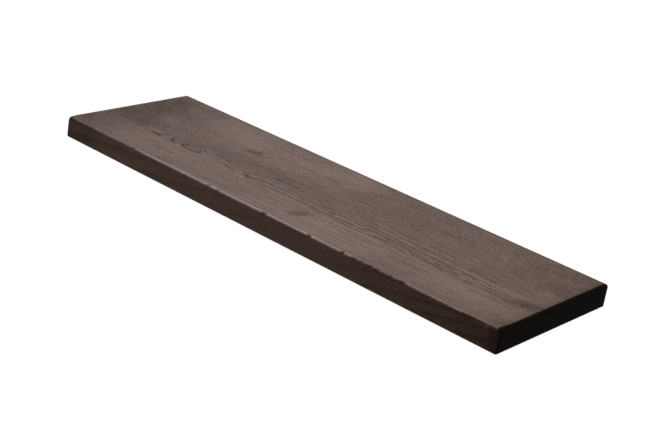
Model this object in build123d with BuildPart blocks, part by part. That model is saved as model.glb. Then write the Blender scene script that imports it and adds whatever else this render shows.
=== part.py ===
from build123d import *
import os

# A straight solid-wood stair tread: one flat-sawn plank, planed on all faces, with its
# arrises eased by hand.
# Frame: X runs along the tread, Y from the nosing (-Y) to the back edge (+Y), Z is up.
# The origin is the middle of the underside. Sizes are in millimetres.

# Plank
tread_length = 1000.0
tread_depth = 300.0
tread_thickness = 40.0

# Eased arrises
top_arris_radius = 7.0
bottom_arris_radius = 2.0
end_arris_radius = 5.0

os.makedirs("parts", exist_ok=True)

with BuildPart() as tread:
    # Cross-section in the Y-Z plane, standing on the underside
    with BuildSketch(Plane.YZ.offset(-tread_length / 2)) as section:
        Rectangle(tread_depth, tread_thickness, align=(Align.CENTER, Align.MIN))
        fillet(section.vertices().group_by(Axis.Y)[-1], top_arris_radius)
        fillet(section.vertices().group_by(Axis.Y)[0], bottom_arris_radius)
    extrude(amount=tread_length)

    # The ends are eased all the way round, across the arrises of the section
    ends = tread.faces().sort_by(Axis.X)
    fillet(ends[0].edges() + ends[-1].edges(), end_arris_radius)

tread.part.label = "tread"
export_step(tread.part, "parts/tread.step")
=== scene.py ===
from math import cos, dist, exp, hypot, log, radians, sin, sqrt

import bmesh
import bpy
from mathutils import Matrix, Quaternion, Vector, noise


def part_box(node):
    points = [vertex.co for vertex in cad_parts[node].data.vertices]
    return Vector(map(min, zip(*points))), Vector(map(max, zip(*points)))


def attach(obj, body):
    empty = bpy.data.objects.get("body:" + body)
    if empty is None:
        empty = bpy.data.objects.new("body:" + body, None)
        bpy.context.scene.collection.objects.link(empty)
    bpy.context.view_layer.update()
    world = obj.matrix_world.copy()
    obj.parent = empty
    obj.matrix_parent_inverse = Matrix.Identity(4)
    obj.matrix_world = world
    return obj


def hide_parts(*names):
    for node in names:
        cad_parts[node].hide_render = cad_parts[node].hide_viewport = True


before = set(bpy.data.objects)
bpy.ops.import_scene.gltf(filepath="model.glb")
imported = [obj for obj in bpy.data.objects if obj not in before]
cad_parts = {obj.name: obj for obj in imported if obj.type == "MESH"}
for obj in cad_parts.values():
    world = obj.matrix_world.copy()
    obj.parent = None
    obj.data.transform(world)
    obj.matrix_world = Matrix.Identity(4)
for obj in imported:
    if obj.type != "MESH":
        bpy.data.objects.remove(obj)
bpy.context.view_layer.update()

# The camera looks down on the tread from in front of its right-hand end, through a long lens.
# It is tipped a little, so that the tread runs uphill to the left, as it does in the photograph.
focal_length = 75.59
film_width = 36.0
camera_heading = radians(38.73)
camera_drop = radians(22.30)
camera_tip = radians(8.90)
camera_distance = 2.3125
camera_sees_to = 100.0
aim = Vector((0.1048, -0.0730, 0.0400))

level = Vector((-sin(camera_heading), cos(camera_heading), 0))
towards = level * cos(camera_drop) - Vector((0, 0, sin(camera_drop)))
camera = bpy.data.objects.new("camera", bpy.data.cameras.new("camera"))
camera.data.lens = focal_length
camera.data.sensor_width = film_width
camera.data.clip_end = camera_sees_to
camera.location = aim - towards * camera_distance
camera.rotation_mode = "QUATERNION"
camera.rotation_quaternion = towards.to_track_quat("-Z", "Y") @ Quaternion((0, 0, 1), camera_tip)
bpy.context.scene.collection.objects.link(camera)
bpy.context.scene.camera = camera
bpy.context.scene.view_settings.view_transform = "Standard"

# The floor is one wide light table, which the tread lies flat on. It glows white from below and
# gives back little of the light from above, so hardly a shadow shows on it. It runs out past
# everything that the camera sees, and it lights the tread's upright faces.
paper_reach = 60.0
paper_drop = 0.0002
white = (1.0, 1.0, 1.0, 1.0)
paper_colour = (0.05, 0.05, 0.05, 1.0)
paper_glow = 0.95
paper_roughness = 0.9
paper_gloss = 0.2

paper = bmesh.new()
bmesh.ops.create_grid(paper, x_segments=1, y_segments=1, size=paper_reach)
bmesh.ops.translate(paper, vec=(0, 0, -paper_drop), verts=paper.verts)
floor = bpy.data.objects.new("floor", bpy.data.meshes.new("floor"))
paper.to_mesh(floor.data)
paper.free()
floor_paper = bpy.data.materials.new("floor_paper")
floor_paper.use_nodes = True
paper_shader = floor_paper.node_tree.nodes["Principled BSDF"]
paper_shader.inputs["Base Color"].default_value = paper_colour
paper_shader.inputs["Emission Color"].default_value = white
paper_shader.inputs["Emission Strength"].default_value = paper_glow
paper_shader.inputs["Roughness"].default_value = paper_roughness
paper_shader.inputs["Specular IOR Level"].default_value = paper_gloss
floor.data.materials.append(floor_paper)
bpy.context.scene.collection.objects.link(floor)


# The light is one wide softbox overhead and one far behind. A low panel behind gives the oiled top
# its faint sheen, and a narrow strip above the left end draws a line of light along the nosing.
# A dim sky fills the shadows.
def softbox(name, place, faces, size, power):
    """A soft rectangular light that faces a point."""
    light = bpy.data.lights.new(name, "AREA")
    light.shape = "RECTANGLE"
    light.size, light.size_y = size
    light.energy = power
    lamp = bpy.data.objects.new(name, light)
    lamp.location = place
    lamp.rotation_mode = "QUATERNION"
    lamp.rotation_quaternion = (Vector(faces) - Vector(place)).to_track_quat("-Z", "Y")
    lamp.visible_camera = False
    bpy.context.scene.collection.objects.link(lamp)


softbox("overhead_softbox", place=(-0.2, 0.2, 3.4), faces=(0, 0, 0), size=(3.8, 3.2), power=160.0)
softbox("far_softbox", place=(1.3, 3.6, 2.8), faces=(-0.7, 2.6, 0), size=(3.0, 1.6), power=56.0)
softbox("back_panel", place=(-2.4, 3.2, 1.1), faces=(0, 0, 0), size=(3.0, 1.6), power=13.0)
softbox("nosing_strip", place=(-1.75, 0.25, 2.0), faces=(0, 0, 0), size=(2.0, 0.22), power=27.0)

sky_strength = 0.12
sky = bpy.data.worlds.new("sky")
sky.use_nodes = True
sky_light = sky.node_tree.nodes["Background"]
sky_light.inputs["Color"].default_value = white
sky_light.inputs["Strength"].default_value = sky_strength
bpy.context.scene.world = sky

# The tread is one plank of softwood, sawn and planed flat on all six faces, with its arrises
# taken off: widest along the top, less round the ends, and finest all the way round below.
mm = 0.001
low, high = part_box("tread")
top_round = 6 * mm
bottom_round = 2 * mm
end_round = 4 * mm
squarely = 0.99  # a face whose normal has this much along an axis faces that way
sharp_angle = radians(30)

plank = bmesh.new()
bmesh.ops.create_cube(plank, size=1.0)
bmesh.ops.scale(plank, vec=high - low, verts=plank.verts)
bmesh.ops.translate(plank, vec=(low + high) / 2, verts=plank.verts)


def ease(edges, radius, steps):
    """Rounds these arrises of the plank."""
    bmesh.ops.bevel(plank, geom=edges, offset=radius, offset_type="OFFSET", affect="EDGES",
                    segments=steps, profile=0.5, material=-1, clamp_overlap=False)


long_edges = [e for e in plank.edges if abs(e.verts[0].co.x - e.verts[1].co.x) > end_round]
ease([e for e in long_edges if e.verts[0].co.z > low.z + top_round], top_round, steps=6)
end_edges = [e for f in plank.faces if abs(f.normal.x) > squarely for e in f.edges]
ease([e for e in end_edges if max(v.co.z for v in e.verts) > low.z + mm], end_round, steps=5)
below = [e for e in plank.edges if max(v.co.z for v in e.verts) < low.z + mm]
ease([e for e in below if e.calc_face_angle() > sharp_angle], bottom_round, steps=3)

# The faces are ruled into a fine grid for the brushed grain to be worked into: close rows across
# the depth, and columns along the length that are closest where the knots are. The underside has
# the same rows and wide columns.
flat_x = high.x - end_round
flat_y = high.y - top_round
flat_z = high.z - top_round
knots_from, knots_to = -380 * mm, -100 * mm
close_step = 2.5 * mm
open_step = 6 * mm
under_step = 30 * mm
back_from = 20 * mm
front_row = mm
back_row = 1.5 * mm
level_step = 2.2 * mm
touching = 0.01 * mm  # a cut this near to a corner goes through it
upright_slope = 0.1


def stations(start, end, step):
    """Places from start up to end, about a step apart."""
    count = max(round((end - start) / step), 1)
    return [start + (end - start) * n / count for n in range(count)]


def rule(faces, axis, places):
    """Divides these faces across an axis, 0 for X to 2 for Z, from its low end to its high end."""
    across = Vector(int(n == axis) for n in range(3))
    ahead = list(faces)
    for place in places:
        # each edge and corner once, in an order that is the same each run
        edges = dict.fromkeys(e for f in ahead for e in f.edges)
        corners = dict.fromkeys(v for f in ahead for v in f.verts)
        cut =bmesh.ops.bisect_plane(plank, geom=[*ahead, *edges, *corners], dist=touching,
                                     plane_co=across * place, plane_no=across)
        found = [f for f in cut["geom"] if isinstance(f, bmesh.types.BMFace)]
        ahead = [f for f in found if f.calc_center_median()[axis] > place]


columns = [*stations(-flat_x, knots_from, open_step), *stations(knots_from, knots_to, close_step),
           *stations(knots_to, flat_x, open_step)][1:]
under_columns = stations(-flat_x, flat_x, under_step)[1:]
rows = [*stations(-flat_y, back_from, front_row), *stations(back_from, flat_y, back_row)][1:]
levels = stations(low.z + 2 * bottom_round, flat_z, level_step)

rule([f for f in plank.faces if f.normal.z > -squarely], 0, columns)
rule([f for f in plank.faces if f.normal.z < -squarely], 0, under_columns)
rule([f for f in plank.faces if abs(f.calc_center_median().y) < flat_y], 1, rows)
rule([f for f in plank.faces if abs(f.normal.z) < upright_slope], 2, levels)
plank.normal_update()

# The tree's growth rings run through the plank from end to end. The board was cut beside the pith,
# so they rise through it at a slant, crowd together along the heart of the figure, and swell into
# an eye at each knot. From here to the finish, plain places and depths are in millimetres.
end_x, back_y, top_z = high / mm
pith_y, pith_z = -260, -30
heart_front, heart_back = -62, 0
blend_width = 5
back_ring = 11.8
front_ring, front_ring_thins = 11.5, 1.7
heart_rings, heart_rings_rise, heart_rings_bend = 5.6, 2.4, 1.2
front_phase = 0.93
long_wander, short_wander, ring_wander = 0.45, 0.14, 0.35
eyes = [  # along, across, half length, half width, rings that they bulge by
    (-355, -56, 17, 7, 1.3),
    (-314, -52, 13, 7, 1.2),
    (-267, -50, 26, 10, 1.6),
    (-167, -52, 24, 5, 0.7),
    (-121, -55, 14, 6, 0.9),
    (113, -48, 42, 7, 1.1),
    (250, -57, 34, 5, 0.8),
    (325, -58, 30, 5, 0.7),
    (463, -50, 26, 8, 0.9),
]
faded = 8  # an oval has all but faded out this far from its middle, squared

faint_rings, side_rings = 0.07, 0.18
bolder_heart, bolder_front = 0.12, 0.09
late_from, late_full, late_fades = 0.50, 0.90, 0.95
usual_boldness, boldness_varies, ring_stride = 0.55, 0.9, 2.37


def ease_in(value, start, end):
    """Rises smoothly from 0 at start to 1 at end."""
    part = min(max((value - start) / (end - start), 0), 1)
    return part * part * (3 - 2 * part)


def beyond(distance):
    """A distance where it is above nought, with a soft bend there."""
    return blend_width * log(1 + exp(distance / blend_width))


def waver(x, y, z, seed):
    """Smooth noise between about -1 and 1. A place comes divided by the size of the patches."""
    return noise.noise(Vector((x, y, z + seed)))


def oval(x, y, middle_x, middle_y, half_length, half_width):
    """How far out a point is from the middle of an oval, squared: 1 on its edge."""
    return ((x - middle_x) / half_length) ** 2 + ((y - middle_y) / half_width) ** 2


def rings_at(x, y, z):
    """The count of growth rings out from the front of the board."""
    y = pith_y + sqrt((y - pith_y) ** 2 + (z - pith_z) ** 2 - (top_z - pith_z) ** 2)
    run = x / end_x
    heart_count = heart_rings + heart_rings_rise * run + heart_rings_bend * run * run
    ring_width = front_ring - front_ring_thins * run
    before = beyond(heart_front - y)
    within = beyond(heart_back - y) - before
    rings = beyond(y - heart_back) / back_ring - before / ring_width
    rings -= within * heart_count / (heart_back - heart_front)
    rings += long_wander * waver(x / 260, y / 70, 0, seed=3)
    rings += short_wander * waver(x / 80, y / 18, 0, seed=11)
    rings += ring_wander * waver(rings * 0.43, 0, 0, seed=5)
    for *place, bulge in eyes:
        reach = oval(x, y, *place)
        if reach < faded:
            rings += bulge * exp(-reach)
    return rings + front_phase


def figure_at(x, y, z):
    """How boldly the rings show, from 0 to 1."""
    heart = ease_in(y, heart_front - 4, heart_front + 6)
    heart *= 1 - ease_in(y, heart_back - 6, heart_back + 16)
    front = 1 - ease_in(y, heart_front - 6, heart_front + 4)
    above = faint_rings + (bolder_heart * heart + bolder_front * front) * ease_in(x, -340, 60)
    return above + (side_rings - above) * ease_in(z, top_z - 2, top_z - 8)


def latewood(rings):
    """The hard dark wood that ends each ring."""
    part = rings % 1
    return ease_in(part, late_from, late_full) - ease_in(part, late_fades, 1.0)


def boldness(rings):
    """How bold a ring is by itself: no two are alike."""
    return usual_boldness + boldness_varies * waver((rings // 1) * ring_stride, 0, 0, seed=17)


# Along the heart of the figure the knots and the boldest growth lines show as separate dark
# strokes, with pale wood between them. Each is drawn as a soft line through a few points.
heart_lines = [  # half width, how much darker, then its points: along and across
    (2.8, 0.9, (-363, -59), (-354, -60), (-345, -60)),
    (2.4, 0.6, (-355, -58), (-350, -58)),
    (2.2, 1.0, (-347, -57), (-344, -51), (-340, -46)),
    (2.2, 0.3, (-400, -43), (-390, -51)),
    (2.8, 0.9, (-321, -48), (-318, -54), (-312, -58)),
    (1.8, 1.0, (-311, -58), (-301, -63)),
    (3.4, 1.1, (-283, -45), (-284, -48)),
    (3.0, 1.0, (-290, -53), (-285, -57), (-279, -61)),
    (2.0, 0.9, (-278, -61), (-262, -61), (-249, -59), (-242, -54), (-247, -47), (-256, -43)),
    (2.4, 0.5, (-248, -56), (-246, -51)),
    (1.7, 0.8, (-276, -43), (-264, -46)),
    (1.8, 0.5, (-276, -32), (-252, -33), (-243, -42)),
    (1.8, 0.6, (-388, -15), (-374, -16)),
    (2.0, 1.0, (-183, -51), (-175, -54), (-154, -58)),
    (4.2, 0.9, (-124, -54), (-116, -59)),
    (2.0, 0.4, (-116, -60), (-110, -63)),
    (1.8, 1.0, (-111, -54), (-98, -50), (-86, -49)),
    (2.0, 0.9, (-87, -49), (-76, -47), (-66, -46)),
    (1.6, 0.4, (-60, -46), (-50, -45)),
    (1.6, 0.4, (-44, -45), (-30, -45)),
    (1.9, 0.8, (-222, -33), (-186, -34)),
    (1.7, 0.8, (-174, -32), (-158, -33)),
    (1.5, 0.5, (-152, -33), (-130, -32)),
    (1.6, 0.8, (-126, -32), (-112, -31)),
    (1.7, 1.3, (-108, -30), (-99, -32)),
    (1.5, 0.9, (-90, -31), (-60, -31)),
    (1.4, 0.6, (-45, -31), (-10, -30)),
    (1.7, 0.9, (-184, -40), (-165, -43), (-150, -43)),
    (1.8, 0.8, (-141, -42), (-124, -43)),
    (1.6, 0.7, (-124, -38), (-100, -40)),
    (1.8, 0.3, (-70, -59), (-56, -58)),
    (2.0, 0.6, (-52, -58), (-38, -58)),
    (2.0, 0.8, (-33, -57), (-25, -56)),
    (1.9, 0.7, (-18, -56), (-5, -56)),
    (2.0, 1.1, (-88, -18), (-77, -18)),
    (1.8, 0.8, (-73, -18), (-67, -18)),
    (1.8, 1.1, (-60, -16), (-53, -16)),
    (1.8, 1.1, (-42, -15), (-33, -15)),
    (1.7, 1.1, (-26, -19), (-18, -21)),
    (1.7, 0.7, (2, -53), (12, -54), (24, -53)),
    (1.6, 1.1, (31, -53), (48, -53)),
    (1.6, 0.9, (62, -54), (95, -54)),
    (1.4, 0.4, (22, -44), (45, -44)),
    (1.8, 1.0, (67, -43), (79, -43)),
    (1.5, 0.9, (85, -38), (112, -39), (138, -40)),
    (1.4, 0.2, (146, -41), (172, -42)),
    (2.0, 1.0, (100, -51), (126, -50)),
    (1.4, 0.7, (134, -50), (158, -49)),
    (1.6, 1.4, (38, -61), (54, -61), (66, -59)),
    (1.5, 0.9, (70, -60), (95, -61), (118, -62)),
    (2.0, 1.0, (124, -62), (138, -62), (148, -61)),
    (1.5, -0.6, (60, -57), (94, -57)),
    (1.8, 1.2, (150, -60), (165, -57), (200, -52)),
    (1.6, 1.1, (38, -36), (52, -35)),
    (1.4, 0.8, (57, -35), (72, -36)),
    (1.6, 0.4, (44, -28), (64, -28)),
    (1.5, 0.5, (97, -26), (106, -27)),
    (1.8, 0.7, (22, -20), (26, -22)),
    (2.0, 0.7, (28, -13), (32, -15)),
    (1.4, 0.6, (85, 0), (180, -1), (232, -4)),
    (1.4, 1.0, (100, -9), (142, -10)),
    (1.5, 0.7, (215, -14), (245, -14), (275, -17)),
    (1.5, 1.1, (236, -21), (250, -22)),
    (1.3, 0.8, (140, -26), (195, -28), (226, -32), (262, -31)),
    (1.6, 1.2, (186, -42), (204, -42)),
    (1.4, 1.0, (208, -43), (224, -42)),
    (1.3, 0.7, (224, -41), (240, -44), (277, -46)),
    (1.6, 1.2, (217, -55), (228, -57), (252, -61)),
    (1.4, 1.0, (240, -49), (262, -53), (300, -54), (345, -52)),
    (1.4, 0.8, (275, -12), (302, -12), (350, -11), (364, -9)),
    (1.3, 0.7, (240, 4), (258, 3), (300, 2)),
    (1.3, 0.7, (304, -3), (345, -3), (400, -3)),
    (1.3, 0.8, (275, -31), (305, -31), (366, -31)),
    (1.3, 1.0, (378, -32), (430, -32)),
    (1.3, 0.7, (280, -37), (300, -38), (335, -38)),
    (1.5, 1.8, (342, -37), (371, -37)),
    (1.5, 1.1, (297, -46), (307, -45), (320, -43), (335, -47), (346, -47)),
    (1.3, 0.6, (358, -45), (390, -45)),
    (1.4, 0.8, (390, -44), (455, -44), (474, -51)),
    (1.5, 0.8, (341, -17), (350, -17)),
    (1.6, 1.1, (366, -17), (394, -17)),
    (1.4, 0.6, (404, -17), (418, -16)),
    (1.5, 1.4, (361, -54), (376, -54)),
    (1.8, 1.2, (395, -54), (414, -54)),
    (1.4, 0.5, (378, -54), (392, -54)),
    (1.4, 1.0, (417, -54), (454, -53), (470, -57)),
    (1.6, 1.3, (311, -57), (321, -61)),
    (1.4, 0.7, (342, -60), (375, -60)),
    (1.5, 1.2, (440, -59), (455, -60), (471, -65)),
    (1.3, 0.9, (425, -37), (440, -36)),
    (1.3, 0.5, (448, -36), (464, -36), (478, -44)),
    (1.5, 0.9, (476, -30), (494, -30)),
    (1.3, 0.3, (252, 20), (286, 20)),
    (1.3, 0.5, (415, 5), (442, 4)),
    (1.7, 0.6, (-310, -103), (-265, -101)),
    (1.5, 0.5, (-245, -99), (-205, -95), (-165, -93)),
    (1.5, 0.5, (-262, -127), (-205, -122), (-172, -118)),
    (1.8, 0.6, (-300, -141), (-255, -137), (-205, -134), (-160, -131), (-90, -129), (20, -125)),
    (1.6, 0.6, (34, -124), (75, -121), (130, -118), (185, -112), (222, -108), (265, -101), (298, -96)),
    (1.6, 0.6, (-110, -114), (-50, -113), (38, -109)),
    (1.6, 0.8, (92, -107), (130, -104), (175, -102), (216, -98)),
    (1.7, 0.9, (238, -94), (280, -88), (315, -83)),
    (1.6, 0.6, (-38, -90), (0, -88)),
    (1.6, 0.5, (105, -89), (140, -87), (170, -85), (216, -78), (262, -73)),
    (1.5, 0.7, (90, -79), (130, -77), (175, -73), (240, -68)),
    (1.5, 0.4, (262, -73), (312, -67)),
    (1.7, 0.6, (318, -134), (350, -133), (412, -130)),
    (1.8, 0.8, (220, -138), (238, -134)),
    (1.5, 0.4, (316, -92), (345, -89), (372, -87), (400, -84)),
    (1.5, 0.4, (330, -101), (370, -99)),
    (1.8, 0.6, (338, -121), (376, -120)),
    (1.8, -0.5, (380, -99), (422, -97)),
    (1.5, 0.5, (375, -112), (425, -108)),
    (1.6, 0.7, (385, -77), (418, -72), (445, -68)),
    (1.5, 0.5, (185, -125), (204, -122)),
    (1.5, 0.5, (186, -134), (206, -133)),
    (1.5, 0.6, (34, -142), (52, -141)),
    (10.5, 0.90, (52, -90), (44, -97), (41, -104)),
    (1.8, -0.5, (98, -83), (175, -80)),
    (1.8, -0.5, (-42, -84), (12, -82)),
    (1.8, -0.6, (318, -86), (356, -84)),
    (1.8, -0.4, (318, -97), (372, -95)),
    (2.0, -0.4, (-62, -119), (40, -117)),
    (1.9, 0.5, (-262, 101), (-205, 103), (-110, 102)),
    (1.8, 0.5, (-85, 109), (-25, 110)),
    (1.7, 0.5, (38, 91), (70, 91)),
    (2.0, 0.5, (-185, 71), (-140, 69), (-100, 68)),
    (2.3, 0.7, (-100, 67), (-20, 69)),
    (2.2, 0.5, (-90, 98), (-36, 98)),
    (2.2, 0.5, (60, 41), (95, 42), (150, 44)),
    (2.4, -0.8, (-245, 56), (-198, 57)),
    (2.4, -0.5, (64, 35), (108, 35)),
    (1.8, -0.6, (-180, -37), (-122, -37)),
    (1.8, -0.4, (-186, -46), (-150, -48)),
    (1.8, -1.0, (-150, -48), (-122, -48)),
    (2.2, -0.6, (-120, -47), (-104, -44)),
    (1.8, -0.5, (-75, -52), (-4, -50)),
    (1.7, -0.5, (4, -48), (88, -48)),
    (2.0, -0.8, (84, -45), (130, -44), (165, -47)),
    (1.6, -0.7, (97, -56), (150, -56), (174, -52)),
    (1.5, -0.6, (100, -5), (160, -6), (222, -9), (300, -9), (380, -5)),
    (1.8, -0.7, (160, -22), (240, -25), (300, -27), (400, -28), (452, -24)),
    (1.5, -0.7, (222, -52), (251, -57)),
    (1.5, -0.6, (310, -49), (328, -49)),
    (1.6, -0.7, (352, -50), (400, -50), (445, -48)),
    (1.4, -0.6, (260, -41), (345, -42), (400, -41)),
    (1.4, -0.5, (430, -31), (465, -32)),
    (2.4, -0.8, (318, 26), (326, 24)),
    (3.4, -0.8, (342, 79), (345, 75)),
    (3.0, -0.6, (368, 84), (382, 82)),
    (3.0, -0.3, (-238, -53), (-222, -53)),
]
strokes_vary = 0.4
heart_boxes = []
for half_width, depth, *points in heart_lines:
    reach = 3 * half_width
    places_x, places_y = zip(*points)
    heart_boxes.append((min(places_x) - reach, max(places_x) + reach,
                        min(places_y) - reach, max(places_y) + reach))


def stroke_at(x, y, points):
    """The distance from a line through these points."""
    nearest = float("inf")
    for (start_x, start_y), (stop_x, stop_y) in zip(points, points[1:]):
        run_x, run_y = stop_x - start_x, stop_y - start_y
        part = ((x - start_x) * run_x + (y - start_y) * run_y) / (run_x ** 2 + run_y ** 2)
        part = min(max(part, 0), 1)
        nearest = min(nearest, hypot(x - start_x - run_x * part, y - start_y - run_y * part))
    return nearest


def heart_at(x, y):
    """How much darker the drawn lines make a point on the top."""
    dark = 0.0
    for (half_width, depth, *points), (left, right, front, back) in zip(heart_lines, heart_boxes):
        if left < x < right and front < y < back:
            dark += depth * exp(-(stroke_at(x, y, points) / half_width) ** 2)
    return dark * (1 + strokes_vary * waver(x / 13, y / 5, 0, seed=47))


# On the top the tone is darker towards both ends and in a few smoky drifts, and paler in others. Each
# drift is a soft oval. The upright faces are painted darker as painted shade, and they darken further
# towards the ends.
drifts = [  # along, across, half length, half width, how much darker
    (-470, 70, 72, 90, 0.33),
    (-440, -32, 62, 36, 0.20),
    (-485, -112, 85, 60, 0.23),
    (-370, 20, 90, 60, 0.14),
    (-225, -15, 100, 26, 0.14),
    (-60, -3, 110, 17, 0.17),
    # painted shade along the back edge, where the sheen is strongest
    (-60, 160, 500, 45, 0.09),
    (150, 75, 90, 60, 0.09),
    (245, 70, 62, 12, 0.08),
    (440, 110, 95, 60, 0.14),
    (470, 45, 34, 20, 0.13),
    (260, -128, 42, 14, 0.08),
    (468, -42, 19, 12, 0.26),
    (484, -33, 14, 10, 0.07),
    # painted shade on the top's round at the right end
    (505, 0, 16, 300, 0.25),
    (-193, 46, 9, 8, 0.32),
    (-205, 37, 12, 7, 0.28),
    (-182, 36, 8, 5, 0.20),
    (-180, 92, 240, 24, -0.09),
    (5, 120, 55, 22, -0.18),
    (100, -112, 140, 36, -0.24),
    (150, -67, 110, 7, -0.27),
    (400, -30, 50, 16, -0.19),
    (390, -85, 110, 26, -0.25),
    (370, -122, 80, 22, -0.13),
    (-66, 92, 42, 34, -0.08),
    (54, 66, 34, 44, 0.09),
    (-372, 114, 36, 26, 0.10),
    (-404, 16, 22, 20, -0.14),
    (-490, -30, 24, 22, 0.10),
    (-306, -38, 40, 12, 0.11),
    (478, -126, 26, 24, 0.12),
    (208, -112, 44, 28, -0.11),
    # a painted highlight along the front edge, beside the nosing's line
    (-90, -138, 110, 8, -0.09),
    (100, 144, 420, 10, 0.03),
    (350, -42, 22, 9, -0.13),
    (474, 15, 18, 20, -0.10),
    (-446, -20, 18, 12, -0.08),
    (-406, -44, 20, 10, 0.09),
    (-484, -114, 16, 14, 0.10),
    (-126, -66, 16, 6, -0.12),
    (-46, -67, 34, 5, -0.10),
    (-40, 30, 44, 10, 0.08),
    (-474, 108, 30, 20, 0.05),
    (-30, -4, 28, 6, -0.11),
    (-358, 22, 28, 8, -0.11),
    (-351, -72, 18, 6, -0.04),
    (-372, -48, 20, 6, -0.08),
    (-240, 136, 34, 8, -0.09),
    (-60, 137, 60, 8, -0.09),
    (136, 138, 50, 7, -0.06),
    (400, 138, 26, 8, -0.10),
    (400, 101, 14, 8, 0.09),
    (392, 42, 24, 10, 0.12),
    (452, 66, 18, 10, 0.08),
    (329, 119, 18, 8, 0.08),
    (90, 119, 22, 8, 0.09),
    (160, 98, 18, 7, -0.07),
    (130, -65, 26, 5, 0.11),
    (224, -116, 20, 9, 0.11),
]
# painted shade: the upright faces are painted darker than the top
upright_shade = 0.14
upright_steps = [  # how much darker, and the places along where that starts and is full
    (0.03, 0, 100),
    (0.14, 120, 380),
    (0.10, 380, 470),
    (0.14, 470, 500),
    (0.14, -390, -440),
    (0.05, -480, -496),
]


def stain_and_shade_at(x, y, slope):
    """How much darker than the middle tone a point is painted, on a face of that slope: the stain's tone
    on the top, and painted shade on the upright faces.
    """
    on_top = 0.0
    for *place, depth in drifts:
        reach = oval(x, y, *place)
        if reach < faded:
            on_top += depth * exp(-reach)
    on_side = upright_shade + sum(depth * ease_in(x, start, full) for depth, start, full in upright_steps)
    upright = 1 - ease_in(abs(slope), 0.78, 0.97)
    return on_top * (1 - upright) + on_side * upright


# The nosing has been knocked and rubbed: its round is worn unevenly, with short dents along it, and its
# corners are dubbed off. Between the dents a pale painted highlight runs along the round, over wood rubbed
# glossier. The round just below that line and each dent are painted darker, as painted shade.
dents = [  # along, half length, depth
    (-434, 4, 0.6), (-318, 4, 0.8), (-122, 3, 0.6), (-98, 3, 0.4), (12, 4, 1.4), (115, 3.5, 1.4),
    (188, 3.5, 1.5), (228, 3, 1.2), (246, 3, 1.3), (259, 2.5, 1.0), (288, 2.5, 1.1), (310, 3, 1.4),
]
usual_wear, wear_varies = 0.42, 0.20
nosing, nosing_reach = (2 - back_y, top_z - 2), 5
highlight_line, highlight_reach = (2.8 - back_y, top_z - 0.7), 2.5
dent_shade_line, dent_shade_reach, dent_shade_depth = (4.5 - back_y, top_z), 3, 0.10
# painted shade on the lower part of the nosing's round
nosing_shade = 0.10
into_nosing = Vector((0, 0.7071, -0.7071))
end_arris, end_arris_reach, end_wear = (end_x - 2, top_z - 2), 4, 0.15
corner_reach, corner_wear = 13, 1.0

band = 3 * mm
nosing_band = [f for f in plank.faces if f.normal.z > -0.05
               and f.calc_center_median().y < -flat_y + band and f.calc_center_median().z > flat_z - band]
between = [(a + b) / 2 for a, b in zip(columns, columns[1:]) if b - a > 1.5 * close_step]
beside_dents = [(place + side * half_length) * mm for place, half_length, depth in dents
                for side in (-1.3, -1.0, -0.7, -0.3, 0.3, 0.7, 1.0, 1.3)]
rule(nosing_band, 0, sorted({*between, *beside_dents}))


def stretch(x, start, full, fades, end):
    """1 along a stretch of the tread, and 0 before its start and past its end."""
    return ease_in(x, start, full) * ease_in(x, end, fades)


def near(point, line, reach):
    """1 on an arris, and less away from it. The point and the arris are places seen end on."""
    return exp(-(dist(point, line) / reach) ** 2)


def dents_at(x):
    """The depth of the dents along the nosing."""
    return sum(depth * exp(-((x - place) / half_length) ** 4) for place, half_length, depth in dents)


def worn_at(x):
    """How far the nosing's round is worn back."""
    wear = usual_wear + wear_varies * (waver(x / 60, 0, 0, seed=21) + waver(x / 14, 0, 0, seed=27))
    wear += 0.4 * stretch(x, 215, 235, 310, 330) + 0.5 * stretch(x, -110, -80, -10, 10)
    wear += 1.6 * ease_in(x, 425, 455)
    return max(wear, 0)


def highlight_and_shade_at(x):
    """How the nosing's line is painted, from 1 where a painted highlight lies over rubbed, glossier wood,
    to -1 in the dents and dull stretches, which are painted darker as painted shade.
    """
    pale = 0.30 - 0.50 * ease_in(x, -486, -498) + 0.70 * ease_in(x, -325, -300)
    pale -= 0.25 * stretch(x, -110, -90, 105, 125) + 1.25 * stretch(x, 198, 214, 314, 324)
    pale -= 0.40 * ease_in(x, 320, 345) + 1.25 * ease_in(x, 418, 442)
    pale += 0.30 * waver(x / 24, 0, 0, seed=41)
    return pale - (pale + 1) * (1 - exp(-1.2 * dents_at(x)))


def nosing_shade_at(x, slope):
    """How much painted shade darkens the nosing's round below the highlight line."""
    dark = nosing_shade * (1.3 - max(highlight_and_shade_at(x), 0.2))
    return dark * ease_in(slope, 0.02, 0.4) * ease_in(slope, 0.97, 0.80) * (1 - 0.9 * ease_in(x, 420, 450))


# The planed wood was brushed, which hollowed the soft part of each ring a little. Every point of the
# surface also carries what the finish has to know there: its ring and how bold that is, the stain with the
# painted shade on the upright faces, round the nosing and in its dents, the rubbing with its painted
# highlight, the drawn strokes, and how much oil the top holds.
marks = ("rings", "figure", "stain_and_shade", "rubbed_highlight_and_shade", "heart", "oiled")
brushed_depth = 0.40
uneven_depth = 0.04
strokes_down_to = top_z - 10

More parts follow.
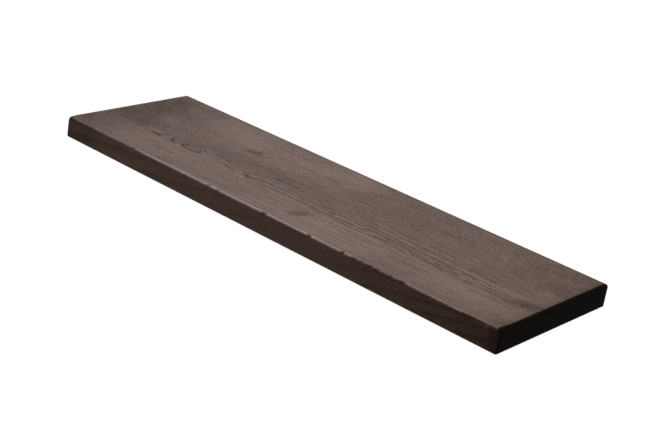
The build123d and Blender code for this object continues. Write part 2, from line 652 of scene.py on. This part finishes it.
plank.normal_update()
kept = {name: plank.verts.layers.float.new(name) for name in marks}
moves = {}
for corner in plank.verts:
    x, y, z = corner.co / mm
    slope = corner.normal.z
    rings = rings_at(x, y, z)
    figure = figure_at(x, y, z) * boldness(rings)
    # painted shade on the top just inside the nosing, at each dent
    dent_shade = dent_shade_depth * dents_at(x) * near((y, z), dent_shade_line, dent_shade_reach)
    corner[kept["rings"]] = rings
    corner[kept["figure"]] = figure
    corner[kept["stain_and_shade"]] = stain_and_shade_at(x, y, slope) + dent_shade + nosing_shade_at(x, slope)
    corner[kept["rubbed_highlight_and_shade"]] = highlight_and_shade_at(x) * near((y, z), highlight_line, highlight_reach)
    corner[kept["heart"]] = heart_at(x, y) if z > strokes_down_to else 0
    corner[kept["oiled"]] = ease_in(slope, 0.25, 0.85)

    hollow = brushed_depth * figure * (1 - latewood(rings))
    hollow += uneven_depth * (1 + waver(x / 120, y / 45, z / 45, seed=33))
    inwards = -1 if x > 0 else 1
    worn_end = end_wear * (1 + waver(y / 16, 0, 0, seed=51))
    worn_end *= near((abs(x), z), end_arris, end_arris_reach)
    to_corner = hypot(hypot(abs(x) - end_x, y + back_y), z - top_z) / corner_reach
    move = -corner.normal * hollow
    move += into_nosing * near((y, z), nosing, nosing_reach) * (worn_at(x) + dents_at(x))
    move += Vector((0.7071 * inwards, 0, -0.7071)) * worn_end
    move += Vector((0.5 * inwards, 0.6, -0.6)) * corner_wear * exp(-to_corner ** 2)
    moves[corner] = move * mm
for corner, move in moves.items():
    corner.co += move

for face in plank.faces:
    face.smooth = True
plank_mesh = bpy.data.meshes.new("plank")
plank.to_mesh(plank_mesh)
plank.free()
tread = bpy.data.objects.new("plank", plank_mesh)
bpy.context.scene.collection.objects.link(tread)


# The finish is a dark walnut stain on brushed softwood, under a thin matt oil. The stain sinks into the
# soft wood between the rings and turns the sawn ends nearly black, and the right end and the top's round
# beside it are painted darker still, as painted shade. Along the nosing a pale, slightly cool painted
# highlight lies over the rubbed wood. Places here are in metres.
class Signal:
    """A value on its way through the finish's nodes. Sums on it add the nodes that do them."""

    def __init__(self, socket):
        self.socket = socket

    def node(self, kind, settings=(), inputs=(), output=0):
        """Adds a node: its settings come first, then the values and links of its sockets."""
        tree = self.socket.id_data
        made = tree.nodes.new(kind)
        for name, value in dict(settings).items():
            setattr(made, name, value)
        for name, value in dict(inputs).items():
            if isinstance(value, Signal):
                tree.links.new(value.socket, made.inputs[name])
            else:
                made.inputs[name].default_value = value
        return Signal(made.outputs[output])

    def maths(self, operation, *values):
        """A Math node on these values."""
        return self.node("ShaderNodeMath", {"operation": operation}, enumerate(values))

    def __add__(self, other):
        return self.maths("ADD", self, other)

    def __sub__(self, other):
        return self.maths("SUBTRACT", self, other)

    def __rsub__(self, other):
        return self.maths("SUBTRACT", other, self)

    def __mul__(self, other):
        return self.maths("MULTIPLY", self, other)

    def __mod__(self, other):
        return self.maths("FLOORED_MODULO", self, other)

    def __abs__(self):
        return self.maths("ABSOLUTE", self)

    __radd__ = __add__
    __rmul__ = __mul__

    def rising(self, start, end):
        """0 at start, 1 at end, and smooth between them."""
        return self.node("ShaderNodeMapRange", {"interpolation_type": "SMOOTHSTEP"},
                         {"Value": self, "From Min": start, "From Max": end})


matt_gloss = 0.03
oil_roughness = 0.38
finish = bpy.data.materials.new("walnut_stain")
finish.use_nodes = True
shader = finish.node_tree.nodes["Principled BSDF"]
shader.inputs["Specular IOR Level"].default_value = matt_gloss
shader.inputs["Coat Roughness"].default_value = oil_roughness
workings = Signal(shader.inputs["Roughness"])
place = workings.node("ShaderNodeTexCoord", output="Object")
along = workings.node("ShaderNodeSeparateXYZ", inputs={"Vector": place}, output="X")
across = workings.node("ShaderNodeSeparateXYZ", inputs={"Vector": place}, output="Y")


def carried(name):
    """A value that the plank's mesh carries at each of its points."""
    return workings.node("ShaderNodeAttribute", {"attribute_name": name}, output="Fac")


def cloud(size, detail=2.0, rough=0.5):
    """Noise from 0 to 1, whose patches have that size in millimetres along, across and up."""
    scale = tuple(1 / (s * mm) for s in size)
    stretched = workings.node("ShaderNodeMapping", inputs={"Vector": place, "Scale": scale})
    return workings.node("ShaderNodeTexNoise", inputs={"Vector": stretched, "Scale": 1.0,
                                                       "Detail": detail, "Roughness": rough})


rings, figure, stain_and_shade, rubbed_highlight_and_shade, heart, oiled = map(carried, marks)

fibre = cloud((60, 0.9, 0.9), 3.0, 0.6)
streak = cloud((22, 3.2, 3.2), 3.0, 0.6)
fleck = cloud((7, 2.8, 2.8), 2.0, 0.6)
pores = cloud((3.4, 2.8, 2.8), 1.0, 0.5)
mottle = cloud((70, 18, 18), 3.0, 0.55)
fading = cloud((110, 9, 9), 2.0, 0.5)

ring_part = (rings + (streak - 0.5) * 0.30 + (fibre - 0.5) * 0.12) % 1
late = ring_part.rising(late_from, late_full) - ring_part.rising(late_fades, 1.0)
early = 1 - ring_part.rising(0.0, 0.35)
bold = figure * (fading * 1.3 + 0.35)
strokes = heart * (fleck * 0.35 + streak * 0.30 + 0.05)
lines = late * bold * 0.9 - early * bold * 0.3 + strokes

grain = (mottle - 0.5) * 0.25 + (streak - 0.5) * 0.38 + (fleck - 0.5) * 0.50
grain = grain + (fibre - 0.5) * 0.22 + (pores - 0.5) * 0.48
rough_corner = along.rising(-0.05, 0.25) * across.rising(0.0, 0.06)
grain = grain * (rough_corner * 0.25 + 1)

middle_tone = 0.57
stain_and_shade_took = stain_and_shade * (mottle * 0.6 + 0.70)
grain_shows = grain * (oiled * 0.4 + 0.6)
# the nosing's line is brightened here as a painted highlight and its dents darkened as painted shade; the
# stain brings the painted shade of the upright faces and the nosing's round
light = middle_tone - stain_and_shade_took - lines + rubbed_highlight_and_shade * 0.13 + grain_shows

dark_stain = (0.0132, 0.0075, 0.0051, 1.0)
light_stain = (0.1250, 0.0746, 0.0556, 1.0)
highlight_tint = (0.100, 0.085, 0.108, 1.0)
end_dark = (0.0024, 0.0017, 0.0010, 1.0)
end_light = (0.0056, 0.0038, 0.0024, 1.0)
black_from, black_full = 0.4985, 0.4999
bump_depth, bump_strength = 0.25 * mm, 0.6


def mixed(amount, first, second):
    """Two colours mixed. A colour Mix has its colours at sockets 6 and 7, and gives its result at 2."""
    return workings.node("ShaderNodeMix", {"data_type": "RGBA"}, {0: amount, 6: first, 7: second},
                         output=2)


# The sawn ends are painted nearly black: end grain that took the stain, with painted shade. At the right
# end the black starts a little sooner and reaches further over the top's round, most near the nosing, as
# painted shade.
from_middle = abs(along) + (fibre - 0.5) * 0.0015 + (fleck - 0.5) * 0.002
shade_over_top = oiled * (across.rising(-0.115, -0.148) * 0.003 + 0.0045)
ends_and_shade = (from_middle + along.rising(-0.3, 0.3) * (shade_over_top + 0.0010)).rising(black_from, black_full)
colour = mixed(light, dark_stain, light_stain)
# a cool painted highlight tint is mixed in along the nosing's line
colour = mixed(rubbed_highlight_and_shade * 0.22, colour, highlight_tint)
colour = mixed(ends_and_shade, colour, mixed(late * 0.5 + fleck * 0.7, end_light, end_dark))
oil = (light * 0.80 + rubbed_highlight_and_shade * 0.35) * oiled * (1 - ends_and_shade)
rough = 0.60 + (fibre - 0.5) * 0.12 + ends_and_shade * 0.3
relief = lines * 0.6 + fibre * 0.5 + streak * 0.3
bump = workings.node("ShaderNodeBump", inputs={"Height": relief, "Distance": bump_depth,
                                               "Strength": bump_strength})
surface = {"Base Color": colour, "Roughness": rough, "Coat Weight": oil, "Normal": bump}
for name, value in surface.items():
    finish.node_tree.links.new(value.socket, shader.inputs[name])
tread.data.materials.append(finish)

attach(tread, "root")
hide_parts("tread")
